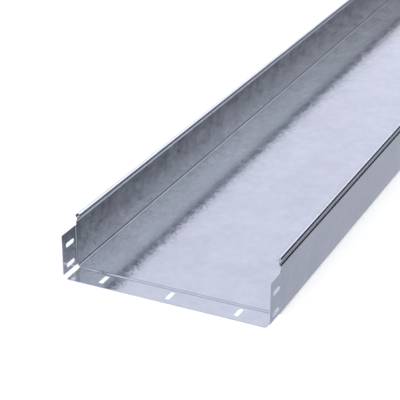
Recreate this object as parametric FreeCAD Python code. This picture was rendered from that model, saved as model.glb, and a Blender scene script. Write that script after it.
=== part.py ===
import FreeCAD
import Part
import math
import os

# A solid cable tray folded from one galvanised steel sheet. X runs along the
# tray, Y across it and Z up, in millimetres. While it is being drawn, X = 0 is
# the coupling end of the full section and Z = 0 is the top face of the base.

# Sheet
THICKNESS = 1.0
BEND_INSIDE = 1.5           # inside radius of the two long folds
HALF = THICKNESS / 2

# Channel
LENGTH = 3000.0             # full section, which is also what one length lays
WIDTH = 300.0               # between the inside faces of the side walls
RIM_HEIGHT = 81.0           # from the base's top face to the top of the rim

# Rolled rim
BEAD_OUTER = 3.5            # outside radius of the roll
BEAD_MID = BEAD_OUTER - HALF
BEAD_SWEEP = 330.0          # the raw edge stops just clear of the neck
NECK_BEND = 0.8             # mid-sheet radius where the neck enters the roll
NECK_LEG = 1.5              # straight part of the neck under the roll
SHOULDER_BEND = 2.5         # mid-sheet radius of the two shoulder bends
SHOULDER_ANGLE = 45.0

# Coupling: two side tabs and a tongue, set out by a sheet and a clearance
FIT_CLEARANCE = 0.2
STEP = THICKNESS + FIT_CLEARANCE
JOGGLE_LENGTH = 3.0
JOGGLE_BEND = 1.5           # mid-sheet radius of the two joggle bends
TAB_REACH = 37.0
TAB_BOTTOM = 3.5
TAB_TOP = 63.0
TAB_CORNER = 1.0
TONGUE_REACH = 37.0
TONGUE_INSET = 3.0          # from the inside face of the wall to the tongue's edge
TONGUE_CORNER = 3.0
RELIEF_REACH = 1.5          # how far the slit beside the tongue runs into the full section
RELIEF_CORNER = 1.2

# Slots for M6 bolts, running along the tray
SLOT_LENGTH = 21.0
SLOT_WIDTH = 7.0
SLOT_FROM_END = 17.0        # slot centres, from either end of the full section
WALL_SLOTS = (13.0, 43.5)
BASE_SLOT_PITCH = 100.0
BASE_SLOTS = (-BASE_SLOT_PITCH, 0.0, BASE_SLOT_PITCH)

V = FreeCAD.Vector


def sheet_section(start, heading, steps, place):
    """Face of a sheet whose mid-line follows legs and bends from a start point."""
    point = V(start[0], start[1], 0)
    angle = math.radians(heading)
    left = []
    right = []
    for kind, *size in steps:
        normal = V(-math.sin(angle), math.cos(angle), 0)
        if kind == "leg":
            end = point + V(math.cos(angle), math.sin(angle), 0) * size[0]
            for side, edges in ((HALF, left), (-HALF, right)):
                ends = place(point + normal * side), place(end + normal * side)
                edges.append(Part.LineSegment(*ends).toShape())
            point = end
            continue
        radius, turn = size
        way = 1 if turn > 0 else -1
        centre = point + normal * (way * radius)
        spoke = normal * -way
        for side, edges in ((HALF, left), (-HALF, right)):
            reach = radius - way * side
            stops = []
            for part in (0.0, 0.5, 1.0):
                a = math.radians(turn) * part
                x = spoke.x * math.cos(a) - spoke.y * math.sin(a)
                y = spoke.x * math.sin(a) + spoke.y * math.cos(a)
                stops.append(place(centre + V(x, y, 0) * reach))
            edges.append(Part.Arc(*stops).toShape())
        angle += math.radians(turn)
        a = math.radians(turn)
        x = spoke.x * math.cos(a) - spoke.y * math.sin(a)
        y = spoke.x * math.sin(a) + spoke.y * math.cos(a)
        point = centre + V(x, y, 0) * radius
    caps = []
    for which in (0, -1):
        a = left[which].Vertexes[which].Point
        b = right[which].Vertexes[which].Point
        caps.append(Part.LineSegment(a, b).toShape())
    return Part.Face(Part.Wire(Part.__sortEdges__(left + right + caps)))


def joggle_steps(reach):
    """Legs and bends of a sheet that steps aside by STEP and then runs straight on."""
    across = 2 * JOGGLE_BEND - STEP
    span = math.hypot(JOGGLE_LENGTH, across)
    angle = math.atan2(JOGGLE_LENGTH, across) - math.acos(2 * JOGGLE_BEND / span)
    flat = STEP - 2 * JOGGLE_BEND * (1 - math.cos(angle))
    turn = math.degrees(angle)
    return [
        ("bend", JOGGLE_BEND, turn),
        ("leg", flat / math.sin(angle)),
        ("bend", JOGGLE_BEND, -turn),
        ("leg", reach - JOGGLE_LENGTH),
    ]


def rounded(solid, radius, picked):
    """The solid with the picked sharp corners of the sheet rounded."""
    return solid.makeFillet(radius, [e for e in solid.Edges if picked(e)])


def slot(centre, axis):
    """A cutter for one slot, centred on a point and passing along an axis."""
    depth = 4 * (THICKNESS + STEP)
    radius = SLOT_WIDTH / 2
    half = SLOT_LENGTH / 2 - radius
    side = axis.cross(V(1, 0, 0)) * radius
    base = centre - axis * (depth / 2)
    ends = [base + V(x, 0, 0) for x in (-half, half)]
    tips = [base + V(x, 0, 0) for x in (-half - radius, half + radius)]
    edges = [
        Part.LineSegment(ends[0] + side, ends[1] + side).toShape(),
        Part.Arc(ends[1] + side, tips[1], ends[1] - side).toShape(),
        Part.LineSegment(ends[1] - side, ends[0] - side).toShape(),
        Part.Arc(ends[0] - side, tips[0], ends[0] + side).toShape(),
    ]
    return Part.Face(Part.Wire(edges)).extrude(axis * depth)


# Half of the full section: base, fold, wall, shoulder, neck and rolled rim
fold_mid = BEND_INSIDE + HALF
wall_mid = WIDTH / 2 + HALF
bead_y = WIDTH / 2 + THICKNESS - BEAD_OUTER
bead_z = RIM_HEIGHT - BEAD_OUTER
neck_y = bead_y + NECK_BEND
lean = math.radians(SHOULDER_ANGLE)
shoulder_leg = (wall_mid - neck_y - 2 * SHOULDER_BEND * (1 - math.cos(lean))) / math.sin(lean)
shoulder_rise = 2 * SHOULDER_BEND * math.sin(lean) + shoulder_leg * math.cos(lean)
neck_top = bead_z - BEAD_MID - NECK_BEND
wall_leg = neck_top - NECK_LEG - shoulder_rise - BEND_INSIDE
channel_steps = [
    ("leg", WIDTH / 2 - BEND_INSIDE),
    ("bend", fold_mid, 90.0),
    ("leg", wall_leg),
    ("bend", SHOULDER_BEND, SHOULDER_ANGLE),
    ("leg", shoulder_leg),
    ("bend", SHOULDER_BEND, -SHOULDER_ANGLE),
    ("leg", NECK_LEG),
    ("bend", NECK_BEND, 90.0),
    ("bend", BEAD_MID, -BEAD_SWEEP),
]
half_section = sheet_section((0, -HALF), 0.0, channel_steps, lambda p: V(0, p.x, p.y))
half_channel = half_section.extrude(V(LENGTH, 0, 0))

# Side tab, drawn in plan and raised to its height
tab_plan = sheet_section((0, -wall_mid), 180.0, joggle_steps(TAB_REACH), lambda p: V(p.x, p.y, TAB_BOTTOM))
tab = tab_plan.extrude(V(0, 0, TAB_TOP - TAB_BOTTOM))
tab = rounded(
    tab,
    TAB_CORNER,
    lambda e: e.BoundBox.XMax < 0.01 - TAB_REACH and e.BoundBox.YLength > THICKNESS / 2,
)

# Tongue, drawn in side view and run across between the tabs
tongue_half = WIDTH / 2 - TONGUE_INSET
tongue_side = sheet_section((0, -HALF), 180.0, joggle_steps(TONGUE_REACH), lambda p: V(p.x, 0, p.y))
tongue_side.translate(V(0, -tongue_half, 0))
tongue = tongue_side.extrude(V(0, 2 * tongue_half, 0))
tongue = rounded(
    tongue,
    TONGUE_CORNER,
    lambda e: e.BoundBox.XMax < 0.01 - TONGUE_REACH and e.BoundBox.ZLength > THICKNESS / 2,
)

# One folded sheet
middle = V(0, 0, 0), V(0, 1, 0)
tray = half_channel.fuse([half_channel.mirror(*middle), tab, tab.mirror(*middle), tongue])
tray = tray.removeSplitter()

# Corner reliefs, where the slits between the tabs and the tongue end
spare = THICKNESS + STEP
relief = Part.makeBox(
    2 * RELIEF_REACH,
    TONGUE_INSET + THICKNESS + spare,
    TAB_BOTTOM + THICKNESS + spare,
    V(-RELIEF_REACH, tongue_half, -THICKNESS - spare),
)
relief = rounded(
    relief,
    RELIEF_CORNER,
    lambda e: e.BoundBox.XMin > RELIEF_REACH - 0.01
    and (e.BoundBox.YMax < tongue_half + 0.01 or e.BoundBox.ZMin > TAB_BOTTOM - 0.01),
)
cutters = [relief, relief.mirror(*middle)]

# Slots in the coupling and at the plain end, so that lengths bolt together
for x in (-SLOT_FROM_END, LENGTH - SLOT_FROM_END):
    cutters += [slot(V(x, y, 0), V(0, 0, 1)) for y in BASE_SLOTS]
    cutters += [slot(V(x, way * wall_mid, z), V(0, 1, 0)) for z in WALL_SLOTS for way in (-1, 1)]
tray = tray.cut(cutters)

# Rest the tongue on Z = 0 and put the origin midway along the tray
tray.translate(V((TONGUE_REACH - LENGTH) / 2, 0, STEP + THICKNESS))
tray = tray.Solids[0] if len(tray.Solids) == 1 else tray

os.makedirs("parts", exist_ok=True)
tray.exportStep("parts/tray.step")
print("solids", len(tray.Solids), "faces", len(tray.Faces), "volume", tray.Volume, tray.BoundBox)
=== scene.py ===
import math

import bmesh
import bpy
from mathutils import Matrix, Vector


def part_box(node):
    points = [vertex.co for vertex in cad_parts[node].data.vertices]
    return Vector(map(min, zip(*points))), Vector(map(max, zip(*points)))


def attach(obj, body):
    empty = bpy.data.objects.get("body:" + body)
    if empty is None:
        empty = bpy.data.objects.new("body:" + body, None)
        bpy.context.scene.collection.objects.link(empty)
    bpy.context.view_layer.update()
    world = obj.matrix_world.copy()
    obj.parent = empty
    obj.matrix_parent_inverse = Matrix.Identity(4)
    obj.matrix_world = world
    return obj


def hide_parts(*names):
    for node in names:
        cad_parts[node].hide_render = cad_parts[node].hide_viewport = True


bl_info = {
    "name": "Solid cable tray",
    "version": (1, 0, 0),
    "blender": (4, 5, 0),
    "location": "3D View > Sidebar > Cable tray",
    "description": "A folded galvanised sheet steel cable tray with rolled rims",
    "category": "Object",
}

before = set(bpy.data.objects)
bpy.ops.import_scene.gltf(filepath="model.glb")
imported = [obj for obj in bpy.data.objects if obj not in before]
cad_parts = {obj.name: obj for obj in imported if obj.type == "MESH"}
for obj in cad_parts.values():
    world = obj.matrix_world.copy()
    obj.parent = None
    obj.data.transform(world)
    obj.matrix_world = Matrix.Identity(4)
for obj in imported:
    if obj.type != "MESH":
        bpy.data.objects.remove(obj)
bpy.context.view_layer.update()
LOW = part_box("tray")[0]

# Camera at the photograph's view, angles in degrees
CAMERA_PLACE = (-2.89268, -0.71374, 0.89767)
CAMERA_TURN = (64.2286, 0.0413, -64.3745)
CAMERA_LENS = 122.05
CAMERA_SENSOR = 36.0

# Stage: three cards beside the tray that only reflections see, each with its
# size and the place of its middle
FLAG_SIZE = (4.4, 0.24)
FLAG_PLACE = (0.78, -0.19, 0.205)
FLAG_SHADE = (0.04, 0.04, 0.045)
BAND_SIZE = (4.4, 0.1)
BAND_PLACE = (0.78, -0.189, 0.185)
BAND_SHADE = (0.32, 0.32, 0.33)
# The card on the floor is a painted shadow: it stands for the floor's shade beside the -Y wall, as
# the sheet reflects it
CARD_SIZE = (6.0, 0.407)
CARD_PLACE = (0.0, -0.357, 0.0005)
CARD_SHADE = (0.62, 0.63, 0.7)

# The studio around it, in degrees: a dark side, a brighter horizon, and two
# lamps, each with its turn, height, the edges of its glow and its strength
DARK_TURN = 35.0
DARK_DEPTH = 0.95
DARK_EDGE = (25.0, 50.0)
DARK_HEIGHT = (12.0, 24.0)
LAMPS = ((8.0, 43.0, (13.0, 22.0), 0.8), (77.0, 66.5, (8.0, 16.0), 1.4))
HORIZON = (13.0, 18.0)
HORIZON_LIGHT = 0.5
STUDIO_LIGHT = 1.15
SIDE_BLEND = 0.25
RIGHT_LIGHT = (1.12, 1.12, 1.12, 1.0)
LEFT_LIGHT = (1.0, 1.0, 1.1, 1.0)

MM = 0.001
SMOOTH_ANGLE = math.radians(30)
CUT_DEPTH = 8 * MM
WELD = 0.02 * MM
CLOSE = 0.05 * MM


class Socket:
    """A node socket that takes part in Python arithmetic."""

    def __init__(self, tree, link):
        self.tree = tree
        self.link = link

    def math(self, operation, *others):
        """A Math node on this value and any others."""
        values = dict(enumerate((self, *others)))
        return self.tree.node("ShaderNodeMath", {"operation": operation}, values)

    def __add__(self, other):
        return self.math("ADD", other)

    def __mul__(self, other):
        return self.math("MULTIPLY", other)

    def __sub__(self, other):
        return self.math("SUBTRACT", other)

    def __truediv__(self, other):
        return self.math("DIVIDE", other)

    def __rsub__(self, other):
        return self.tree.node("ShaderNodeMath", {"operation": "SUBTRACT"}, {0: other, 1: self})

    __radd__ = __add__
    __rmul__ = __mul__

    def step(self, low, high):
        """Smooth step of this value from 0 at low to 1 at high."""
        return self.tree.node(
            "ShaderNodeMapRange",
            {"interpolation_type": "SMOOTHSTEP"},
            {"Value": self, "From Min": low, "From Max": high},
        )


class Tree:
    """Makes the nodes of one material or world."""

    def __init__(self, owner):
        owner.use_nodes = True
        self.nodes = owner.node_tree.nodes
        self.links = owner.node_tree.links
        self.nodes.clear()

    def node(self, kind, settings=None, inputs=None, output=0):
        """One node with its settings and the values or links of its inputs."""
        made = self.nodes.new(kind)
        for name, value in (settings or {}).items():
            setattr(made, name, value)
        for name, value in (inputs or {}).items():
            socket = made.inputs[name]
            if isinstance(value, Socket):
                self.links.new(value.link, socket)
            else:
                socket.default_value = value
        return Socket(self, made.outputs[output]) if made.outputs else None

    def parts(self, kind, source, count):
        """The first few parts of a vector or a colour, by the node that splits it."""
        return [self.node(kind, {}, {0: source}, output=k) for k in range(count)]

    def vector(self, operation, first, second=None, scale=None):
        """A Vector Math node on a vector and another, or on a vector and a number."""
        inputs = {0: first, 1: second, "Scale": scale}
        inputs = {name: value for name, value in inputs.items() if value is not None}
        return self.node("ShaderNodeVectorMath", {"operation": operation}, inputs)

    def blend(self, amount, first, second):
        """A colour between two others, the first at 0 and the second at 1."""
        inputs = {"Factor": amount, 6: first, 7: second}
        return self.node("ShaderNodeMix", {"data_type": "RGBA"}, inputs, output=2)


def length(name, text, default):
    """A length in the settings, in metres."""
    return bpy.props.FloatProperty(
        name=name, description=text, default=default, min=0.0, subtype="DISTANCE", unit="LENGTH"
    )


class TraySettings(bpy.types.PropertyGroup):
    """What a user would change on the tray."""

    sheet: length("Sheet", "Thickness of the sheet", 1.0 * MM)
    width: length("Width", "Between the inside faces of the walls", 300 * MM)
    section: length("Section", "Length of the full section", 3000 * MM)
    fold: length("Fold", "Mid-sheet radius of the folds under the walls", 2.0 * MM)
    roll: length("Roll", "Mid-sheet radius of the rolled rim", 3.0 * MM)
    rim: length("Rim height", "From the base's top face to the middle of the roll", 77.5 * MM)
    reach: length("Reach", "How far the tongue and the tabs stand out", 37 * MM)
    step: length("Step", "How far the tongue and the tabs step aside", 1.2 * MM)
    slot_long: length("Slot length", "Length of every slot", 21 * MM)
    slot_wide: length("Slot width", "Width of every slot", 7 * MM)
    zinc: bpy.props.FloatVectorProperty(
        name="Zinc",
        description="Colour of the galvanised sheet",
        default=(0.488, 0.512, 0.573),
        subtype="COLOR",
        size=3,
        min=0.0,
        max=1.0,
    )
    polish: bpy.props.FloatProperty(
        name="Roughness",
        description="How much the sheet blurs what it reflects",
        default=0.155,
        min=0.0,
        max=1.0,
        subtype="FACTOR",
    )
    spangle: length("Spangle", "Size of the zinc's crystals", 9 * MM)
    grain: length("Grain", "Size of the facets that catch the light", 2.8 * MM)
    lean: bpy.props.FloatProperty(
        name="Lean", description="How far the facets lean out of the sheet", default=0.026, min=0.0
    )
    unevenness: length("Unevenness", "Depth of the ripples in the zinc skin", 0.03 * MM)


# Places in the sheet at mid-sheet: heights above the base's top face, the
# tongue's edge out from the middle, and the joggles back from the full section.
# A bend is how far before its corner the sheet starts to turn.
TONGUE_EDGE = 147 * MM
TAB_LOW = 3.5 * MM
TAB_HIGH = 63 * MM
SHOULDER_OUT = 68.965 * MM
SHOULDER_IN = 71.165 * MM
NECK_BEND = 0.8 * MM
SHOULDER_BEND = 1.0355 * MM
JOGGLE_FIRST = 0.374 * MM
JOGGLE_LAST = 2.626 * MM
JOGGLE_BEND = 0.37 * MM
TONGUE_CORNER = 3 * MM
TAB_CORNER = 1 * MM
SLOT_FROM_END = 17 * MM
SLOTS_UP = (13 * MM, 43.5 * MM)
SLOTS_ACROSS = (-100 * MM, 0.0, 100 * MM)
RELIEF_REACH = 1.5 * MM
RELIEF_CORNER = 1.2 * MM
ROLL_SWEEP = math.radians(330)

# How many steps each round is made in
NECK_STEPS = 4
ROLL_STEPS = 33
FOLD_STEPS = 8
SHOULDER_STEPS = 6
JOGGLE_STEPS = 4
CORNER_STEPS = 8
SLOT_STEPS = 10

# Where shade and light are painted on the sheet's faces: a pair is where a mask starts and where it
# is full, and a crease or band is its middle and half its width
ROLL_OUT = 147.5 * MM
INNER_TURN = (0.1, 0.5)
NECK_OUT = (147.3 * MM, 147.9 * MM)
FOLD_OUT = (148.9 * MM, 149.4 * MM)
FOLD_UP = (2.6 * MM, 3.6 * MM)
NECK_CREASE = (73.0 * MM, 4.8 * MM)
# The band high on the rolls' outer side is a painted dark reflection
RIM_DARK_BAND = (79.0 * MM, 1.9 * MM)
LIP_CREASE = (75.5 * MM, 2.9 * MM)
LIP_OUT = (146.4 * MM, 147.2 * MM)
FIRST_CREASE = (0.5 * MM, 1.5 * MM)
LAST_CREASE = (-JOGGLE_LAST - 0.5 * MM, 1.5 * MM)
END_SHADE_TURN = (0.7, 0.9)
END_SHADE_UP = (71.5 * MM, 72.5 * MM)
HOLLOW_OUT = (2.7 * MM, 2.9 * MM)
WALL_OUT = (147 * MM, 149 * MM)

# How much painted shade each crease and the rolls' band put on the zinc, and the colours of the
# painted shade and painted light that the masks go towards
FOLD_PAINTED_SHADE = 0.38
NECK_PAINTED_SHADE = 0.46
BEND_PAINTED_SHADE = 0.3
LIP_PAINTED_SHADE = 0.62
PAINTED_SHADE_ZINC = (0.0, 0.03, 0.07, 1.0)
END_PAINTED_SHADE = (0.1, 0.11, 0.11, 1.0)
HOLLOW_PAINTED_LIGHT = (0.9, 0.9, 0.95, 1.0)

# Darkest and lightest tints of the zinc colour, in its cooler and warmer clouds
COOL = ((0.92, 0.932, 0.926), (1.06, 1.072, 1.062))
WARM = ((0.935, 0.925, 0.93), (1.075, 1.062, 1.07))


def alone(piece):
    """Make one object the only one selected."""
    bpy.ops.object.select_all(action="DESELECT")
    piece.select_set(True)
    bpy.context.view_layer.objects.active = piece


def pick(kind, test):
    """In edit mode, select the vertices or edges whose every end passes a test."""
    bpy.ops.mesh.select_mode(type=kind)
    bpy.ops.mesh.select_all(action="DESELECT")
    mesh = bmesh.from_edit_mesh(bpy.context.active_object.data)
    for item in mesh.verts if kind == "VERT" else mesh.edges:
        ends = [item] if kind == "VERT" else item.verts
        item.select_set(all(test(end.co) for end in ends))
    mesh.select_flush(kind != "VERT")
    bmesh.update_edit_mesh(bpy.context.active_object.data)


def near(a, b):
    """Whether two places are the same, give or take what the operators leave."""
    return abs(a - b) < CLOSE


def extend(*way):
    """Extrude the selected edges along a vector and leave the new ones selected."""
    bpy.ops.mesh.extrude_region_move(TRANSFORM_OT_translate={"value": way})


def soften(edge, offset, steps):
    """Round the corner that lies on some edges."""
    pick("EDGE", edge)
    bpy.ops.mesh.bevel(offset_type="OFFSET", offset=offset, segments=steps, clamp_overlap=False)


def finish_modifier(piece, kind, **settings):
    """Add a modifier with its settings and apply it."""
    alone(piece)
    modifier = piece.modifiers.new(kind.title(), kind)
    for name, value in settings.items():
        setattr(modifier, name, value)
    bpy.ops.object.modifier_apply(modifier=modifier.name)


def stadium(centre, size, corner, upright):
    """A cutter with rounded corners, passing across the sheet along Z or Y."""
    bpy.ops.object.select_all(action="DESELECT")
    bpy.ops.mesh.primitive_cube_add(size=1.0, enter_editmode=True)
    cutter = bpy.context.active_object
    bpy.ops.transform.resize(value=size, center_override=(0, 0, 0))
    axis = 2 if upright else 1
    along = [k for k in (0, 1, 2) if k != axis]
    bpy.ops.mesh.select_all(action="DESELECT")
    mesh = bmesh.from_edit_mesh(cutter.data)
    for edge in mesh.edges:
        a, b = (end.co for end in edge.verts)
        edge.select_set(all(near(a[k], b[k]) for k in along))
    bmesh.update_edit_mesh(cutter.data)
    bpy.ops.mesh.bevel(offset=corner, segments=SLOT_STEPS, clamp_overlap=False)
    bpy.ops.mesh.select_all(action="SELECT")
    bpy.ops.mesh.remove_doubles(threshold=WELD)
    bpy.ops.transform.translate(value=centre)
    bpy.ops.object.mode_set(mode="OBJECT")
    return cutter


class TRAY_OT_sheet(bpy.types.Operator):
    """Folds the sheet, rolls its rims, and cuts the coupling's slots"""

    bl_idname = "tray.sheet"
    bl_label = "Folded sheet"

    def execute(self, context):
        size = context.scene.tray
        start = LOW.x + size.reach
        floor = LOW.z + size.step + size.sheet
        mid = floor - size.sheet / 2
        wall = (size.width + size.sheet) / 2
        neck = wall - (SHOULDER_IN - SHOULDER_OUT)
        roll = neck - NECK_BEND
        neck_top = size.rim - size.roll - NECK_BEND

        bpy.ops.object.select_all(action="DESELECT")
        bpy.ops.mesh.primitive_plane_add(size=1.0, enter_editmode=True)
        tray = context.active_object
        tray.name = "tray_sheet"
        bpy.ops.transform.resize(value=(size.section, wall, 1), center_override=(0, 0, 0))
        bpy.ops.transform.translate(value=(start + size.section / 2, wall / 2, mid))
        bpy.ops.mesh.bisect(plane_co=(0, TONGUE_EDGE, 0), plane_no=(0, 1, 0))

        # Wall, shoulder and neck, then the roll
        pick("EDGE", lambda p: near(p.y, wall))
        extend(0, 0, floor + TAB_LOW - mid)
        extend(0, 0, TAB_HIGH - TAB_LOW)
        extend(0, 0, SHOULDER_OUT - TAB_HIGH)
        extend(0, neck - wall, SHOULDER_IN - SHOULDER_OUT)
        extend(0, 0, neck_top - SHOULDER_IN)
        for steps, turn, up in (
            (NECK_STEPS, math.radians(-90), neck_top),
            (ROLL_STEPS, ROLL_SWEEP, size.rim),
        ):
            middle = (0, roll, floor + up)
            bpy.ops.mesh.spin(steps=steps, angle=turn, center=middle, axis=(1, 0, 0))
        soften(lambda p: near(p.y, wall) and near(p.z, mid), size.fold, FOLD_STEPS)
        for up in (SHOULDER_OUT, SHOULDER_IN):
            soften(lambda p: near(p.z, floor + up), SHOULDER_BEND, SHOULDER_STEPS)

        # Tongue and tab, each stepped aside by its joggle
        def tongue(p):
            return near(p.x, start) and near(p.z, mid) and p.y < TONGUE_EDGE + WELD

        def tab(p):
            level = TAB_LOW - WELD < p.z - floor < TAB_HIGH + WELD
            return near(p.x, start) and near(p.y, wall) and level

        for edge, out, up in ((tongue, 0, -size.step), (tab, size.step, 0)):
            pick("EDGE", edge)
            extend(-JOGGLE_FIRST, 0, 0)
            extend(JOGGLE_FIRST - JOGGLE_LAST, out, up)
            extend(JOGGLE_LAST - size.reach, 0, 0)
        for at in (JOGGLE_FIRST, JOGGLE_LAST):
            soften(lambda p: near(p.x, start - at), JOGGLE_BEND, JOGGLE_STEPS)
        for test, corner in (
            (lambda p: near(p.y, TONGUE_EDGE), TONGUE_CORNER),
            (lambda p: near(p.z, floor + TAB_LOW) or near(p.z, floor + TAB_HIGH), TAB_CORNER),
        ):
            pick("VERT", lambda p: near(p.x, LOW.x) and test(p))
            bpy.ops.mesh.bevel(
                offset=corner, segments=CORNER_STEPS, affect="VERTICES", clamp_overlap=False
            )
        bpy.ops.mesh.select_all(action="SELECT")
        bpy.ops.mesh.remove_doubles(threshold=WELD)
        bpy.ops.object.mode_set(mode="OBJECT")

        finish_modifier(tray, "MIRROR", use_axis=(False, True, False), use_clip=True)
        finish_modifier(tray, "SOLIDIFY", thickness=size.sheet, offset=0.0, use_even_offset=True)
        self.cut(tray, size, start, floor, wall)

        alone(tray)
        bpy.ops.object.shade_smooth_by_angle(angle=SMOOTH_ANGLE)
        finish_modifier(tray, "WEIGHTED_NORMAL", keep_sharp=True)
        tray.data.materials.append(galvanised(size))
        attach(tray, "root")
        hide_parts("tray")
        return {"FINISHED"}

    def cut(self, tray, size, start, floor, wall):
        """Cut the slots and the reliefs at the tongue's corners."""
        long = size.slot_long
        wide = size.slot_wide
        cutters = []
        for x in (start - SLOT_FROM_END, start + size.section - SLOT_FROM_END):
            for y in SLOTS_ACROSS:
                cutters.append(stadium((x, y, floor), (long, wide, CUT_DEPTH), wide / 2, True))
            for z in SLOTS_UP:
                for side in (-wall, wall):
                    place = (x, side, floor + z)
                    cutters.append(stadium(place, (long, CUT_DEPTH, wide), wide / 2, False))
        spare = 2 * size.sheet
        outer = wall + spare
        low = floor - size.sheet - spare
        high = floor + TAB_LOW
        box = (2 * RELIEF_REACH, outer - TONGUE_EDGE, high - low)
        for side in (-1, 1):
            centre = (start, side * (TONGUE_EDGE + outer) / 2, (low + high) / 2)
            cutters.append(stadium(centre, box, RELIEF_CORNER, True))
        bpy.ops.object.select_all(action="DESELECT")
        for cutter in cutters:
            cutter.select_set(True)
        bpy.context.view_layer.objects.active = cutters[0]
        bpy.ops.object.join()
        finish_modifier(tray, "BOOLEAN", operation="DIFFERENCE", solver="EXACT", object=cutters[0])
        bpy.data.objects.remove(cutters[0])


def galvanised(size):
    """Zinc on steel: faint crystals and clouds, with painted shade in the creases and at the rolled
    edges, and painted light in one roll's hollow.
    """
    material = bpy.data.materials.new("galvanised sheet")
    tree = Tree(material)
    place = tree.node("ShaderNodeTexCoord", output="Object")
    facing = tree.node("ShaderNodeTexCoord", output="Normal")
    x, y, z = tree.parts("ShaderNodeSeparateXYZ", place, 3)
    ahead, across = tree.parts("ShaderNodeSeparateXYZ", facing, 2)
    aside = y.math("ABSOLUTE")
    along = x - (LOW.x + size.reach)
    height = z - (LOW.z + size.step + size.sheet)

    def noise(scale, detail, roughness=0.5):
        inputs = {"Vector": place, "Scale": scale, "Detail": detail, "Roughness": roughness}
        return tree.node("ShaderNodeTexNoise", {}, inputs)

    def cells(width):
        inputs = {"Vector": place, "Scale": 1 / width}
        return tree.node("ShaderNodeTexVoronoi", {}, inputs, output="Color")

    def line(value, crease):
        middle, half = crease
        off = (value - middle).math("ABSOLUTE")
        return 1 - off.step(half / 2, half)

    # Painted shade in the creases of the folds, the necks and the joggles and inside the rolls, and
    # a painted dark reflection band on the rolls' outer side
    inner = 1 - (across * y / aside).step(*INNER_TURN)
    outside = aside.step(*NECK_OUT)
    fold = aside.step(*FOLD_OUT) * (1 - height.step(*FOLD_UP))
    neck = line(height, NECK_CREASE).math("MAXIMUM", line(height, RIM_DARK_BAND)) * outside
    lip = line(height, LIP_CREASE) * (1 - aside.step(*LIP_OUT))
    bend = (line(along, FIRST_CREASE) + line(along, LAST_CREASE)) * inner
    kept = (1 - fold * FOLD_PAINTED_SHADE) * (1 - neck * NECK_PAINTED_SHADE)
    kept = kept * (1 - bend * BEND_PAINTED_SHADE) * (1 - lip * LIP_PAINTED_SHADE)

    # Painted shade on the +Y roll's end faces, and painted light in the -Y roll's hollow
    painted_end_shade = ahead.math("ABSOLUTE").step(*END_SHADE_TURN) * height.step(*END_SHADE_UP) * y.step(0, MM)
    off_axis = aside - ROLL_OUT
    above = height - size.rim
    hollow = 1 - (off_axis * off_axis + above * above).math("SQRT").step(*HOLLOW_OUT)

    # Crystals, clouds, patches and specks
    tone, dull = tree.parts("ShaderNodeSeparateColor", cells(size.spangle), 2)
    cloud = noise(14.0, 3.0).step(0.35, 0.65)
    patch = noise(34.0, 3.0, 0.6).step(0.3, 0.7)
    speck = noise(170.0, 2.0, 0.6).step(0.66, 0.74)
    shade = tone * 0.34 + cloud * 0.33 + patch * 0.33

    def tints(pair):
        low, high = ([part * by for part, by in zip(size.zinc, tint)] for tint in pair)
        return tree.blend(shade, (*low, 1.0), (*high, 1.0))

    colour = tree.blend(noise(11.0, 2.0).step(0.38, 0.62), tints(COOL), tints(WARM))
    # Painted shade in the creases and a painted dark reflection band on the rolls
    colour = tree.blend(1 - kept, colour, PAINTED_SHADE_ZINC)
    # Painted shade on the +Y roll's end faces
    colour = tree.blend(painted_end_shade, colour, END_PAINTED_SHADE)
    # Painted light in the -Y roll's hollow
    colour = tree.blend(hollow * y.step(0, -MM), colour, HOLLOW_PAINTED_LIGHT)
    roughness = size.polish + (dull - 0.5) * 0.05 + (patch - 0.5) * 0.05
    roughness = roughness + speck * 0.08 + hollow * 0.5

    # Each facet leans its own way, least on the walls, over ripples in the skin
    amount = size.lean * (1 - aside.step(*WALL_OUT) * 0.72)
    lean = tree.vector("SUBTRACT", cells(size.grain), (0.5, 0.5, 0.5))
    lean = tree.vector("SCALE", lean, scale=amount)
    normal = tree.vector("ADD", tree.node("ShaderNodeNewGeometry", output="Normal"), lean)
    normal = tree.vector("NORMALIZE", normal)
    skin = noise(300.0, 3.0, 0.6) * 1.3 + noise(90.0, 1.0) * 0.7
    bump = tree.node(
        "ShaderNodeBump",
        {},
        {"Strength": 1.0, "Distance": size.unevenness, "Height": skin, "Normal": normal},
    )
    shader = tree.node(
        "ShaderNodeBsdfPrincipled",
        {},
        {"Base Color": colour, "Metallic": 1 - hollow * 0.8, "Roughness": roughness, "Normal": bump},
    )
    tree.node("ShaderNodeOutputMaterial", {}, {"Surface": shader})
    return material


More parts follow.
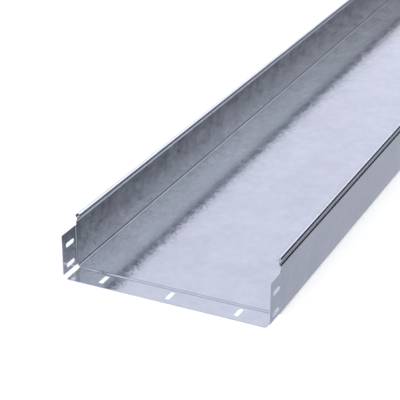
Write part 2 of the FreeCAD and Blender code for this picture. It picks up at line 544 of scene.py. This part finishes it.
class TRAY_OT_stage(bpy.types.Operator):
    """Sets out the floor, the light and the camera"""

    bl_idname = "tray.stage"
    bl_label = "Stage"

    def execute(self, context):
        bpy.ops.object.select_all(action="DESELECT")
        bpy.ops.mesh.primitive_plane_add(size=80.0, location=(0, 0, 0))
        floor = context.active_object
        floor.name = "floor"
        material = bpy.data.materials.new("pale floor")
        tree = Tree(material)
        shader = tree.node(
            "ShaderNodeBsdfPrincipled",
            {},
            {
                "Base Color": (0.78, 0.78, 0.78, 1.0),
                "Roughness": 0.9,
                "Specular IOR Level": 0.0,
                "Emission Color": (1.0, 1.0, 1.0, 1.0),
                "Emission Strength": 0.2,
            },
        )
        tree.node("ShaderNodeOutputMaterial", {}, {"Surface": shader})
        floor.data.materials.append(material)
        self.card(context, FLAG_SIZE, FLAG_PLACE, True, FLAG_SHADE)
        self.card(context, BAND_SIZE, BAND_PLACE, True, BAND_SHADE)
        # The floor card is a painted shadow of the floor beside the tray, seen only in reflections
        self.card(context, CARD_SIZE, CARD_PLACE, False, CARD_SHADE)
        self.sky(context)

        turn = [math.radians(angle) for angle in CAMERA_TURN]
        bpy.ops.object.camera_add(location=CAMERA_PLACE, rotation=turn)
        camera = context.active_object
        camera.data.lens = CAMERA_LENS
        camera.data.sensor_width = CAMERA_SENSOR
        camera.data.clip_start = 0.05
        camera.data.clip_end = 200.0
        context.scene.camera = camera
        context.scene.view_settings.view_transform = "Standard"
        return {"FINISHED"}

    def card(self, context, size, place, upright, shade):
        """A plain card that is seen only in reflections."""
        bpy.ops.object.select_all(action="DESELECT")
        bpy.ops.mesh.primitive_plane_add(size=1.0, enter_editmode=True)
        card = context.active_object
        card.name = "card"
        bpy.ops.transform.resize(value=(*size, 1), center_override=(0, 0, 0))
        bpy.ops.object.mode_set(mode="OBJECT")
        card.rotation_euler = (math.radians(90) if upright else 0, 0, 0)
        card.location = place
        material = bpy.data.materials.new("card")
        tree = Tree(material)
        glow = tree.node("ShaderNodeEmission", {}, {"Color": (*shade, 1.0)})
        tree.node("ShaderNodeOutputMaterial", {}, {"Surface": glow})
        card.data.materials.append(material)
        card.visible_camera = False
        card.visible_diffuse = False
        card.visible_shadow = False

    def sky(self, context):
        """A pale studio with one dark side, a brighter horizon and two lamps."""
        world = bpy.data.worlds.new("studio")
        context.scene.world = world
        tree = Tree(world)
        place = tree.node("ShaderNodeTexCoord", output="Generated")
        x, y, z = tree.parts("ShaderNodeSeparateXYZ", place, 3)

        def toward(turn, height):
            turn, height = math.radians(turn), math.radians(height)
            level = x * math.cos(turn) - y * math.sin(turn)
            return level * math.cos(height) + z * math.sin(height)

        def below(height):
            return 1 - z.step(*(math.sin(math.radians(h)) for h in height))

        def within(cosine, edge):
            inner, outer = (math.cos(math.radians(e)) for e in edge)
            return cosine.step(outer, inner)

        flat = (x * x + y * y).math("SQRT")
        dark = within(toward(DARK_TURN, 0) / flat, DARK_EDGE) * below(DARK_HEIGHT)
        strength = STUDIO_LIGHT + below(HORIZON) * HORIZON_LIGHT
        for turn, height, edge, more in LAMPS:
            strength = strength + within(toward(turn, height), edge) * more
        strength = strength * (1 - dark * DARK_DEPTH)
        colour = tree.blend(y.step(-SIDE_BLEND, SIDE_BLEND), RIGHT_LIGHT, LEFT_LIGHT)
        sky = tree.node("ShaderNodeBackground", {}, {"Color": colour, "Strength": strength})
        tree.node("ShaderNodeOutputWorld", {}, {"Surface": sky})


class TRAY_PT_sidebar(bpy.types.Panel):
    """Lists the tray's operators"""

    bl_idname = "TRAY_PT_sidebar"
    bl_label = "Cable tray"
    bl_space_type = "VIEW_3D"
    bl_region_type = "UI"
    bl_category = "Cable tray"

    def draw(self, context):
        size = context.scene.tray
        for name in size.__annotations__:
            self.layout.prop(size, name)
        self.layout.operator("tray.sheet")
        self.layout.operator("tray.stage")


CLASSES = (TraySettings, TRAY_OT_sheet, TRAY_OT_stage, TRAY_PT_sidebar)


def register():
    for cls in CLASSES:
        bpy.utils.register_class(cls)
    bpy.types.Scene.tray = bpy.props.PointerProperty(type=TraySettings)


def unregister():
    del bpy.types.Scene.tray
    for cls in reversed(CLASSES):
        bpy.utils.unregister_class(cls)


def main():
    register()
    bpy.ops.tray.sheet()
    bpy.ops.tray.stage()


if __name__ == "__main__":
    main()
